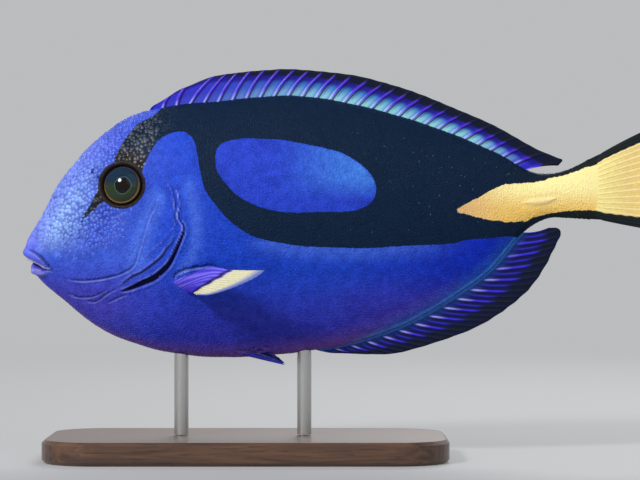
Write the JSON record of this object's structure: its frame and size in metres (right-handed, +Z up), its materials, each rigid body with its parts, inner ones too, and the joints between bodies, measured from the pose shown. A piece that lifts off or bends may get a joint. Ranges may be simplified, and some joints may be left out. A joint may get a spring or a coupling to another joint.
{
  "type": "regal blue tang fish model",
  "caption": "Life-size model of a regal blue tang with raised fins, black band and yellow tail, on a plain display stand with short rods.",
  "frame": {"origin": "on the floor under the middle of the fish, at the middle of the foot-print of the whole model", "axes": "+X from the head towards the tail, +Y towards the fish's right flank, +Z up; the fish's mirror plane is Y = 0 and its left flank faces -Y"},
  "size_m": [0.2467, 0.0828, 0.1362],
  "materials": {
    "skin": "satin",
    "eye": "wet gloss",
    "fin": "satin",
    "tail_fin": "satin",
    "stand_wood": "satin varnish",
    "stand_steel": "brushed"
  },
  "bodies": {
    "root": {"head": "skin", "torso": "skin", "tail": "skin", "eye_left": "eye", "eye_right": "eye", "dorsal_fin": "fin", "anal_fin": "fin", "caudal_fin": "tail_fin", "pectoral_fin_left": "fin", "pectoral_fin_right": "fin", "pelvic_fin_left": "fin", "pelvic_fin_right": "fin", "stand_base": "stand_wood", "stand_rod_front": "stand_steel", "stand_rod_rear": "stand_steel"}
  },
  "joints": []
}
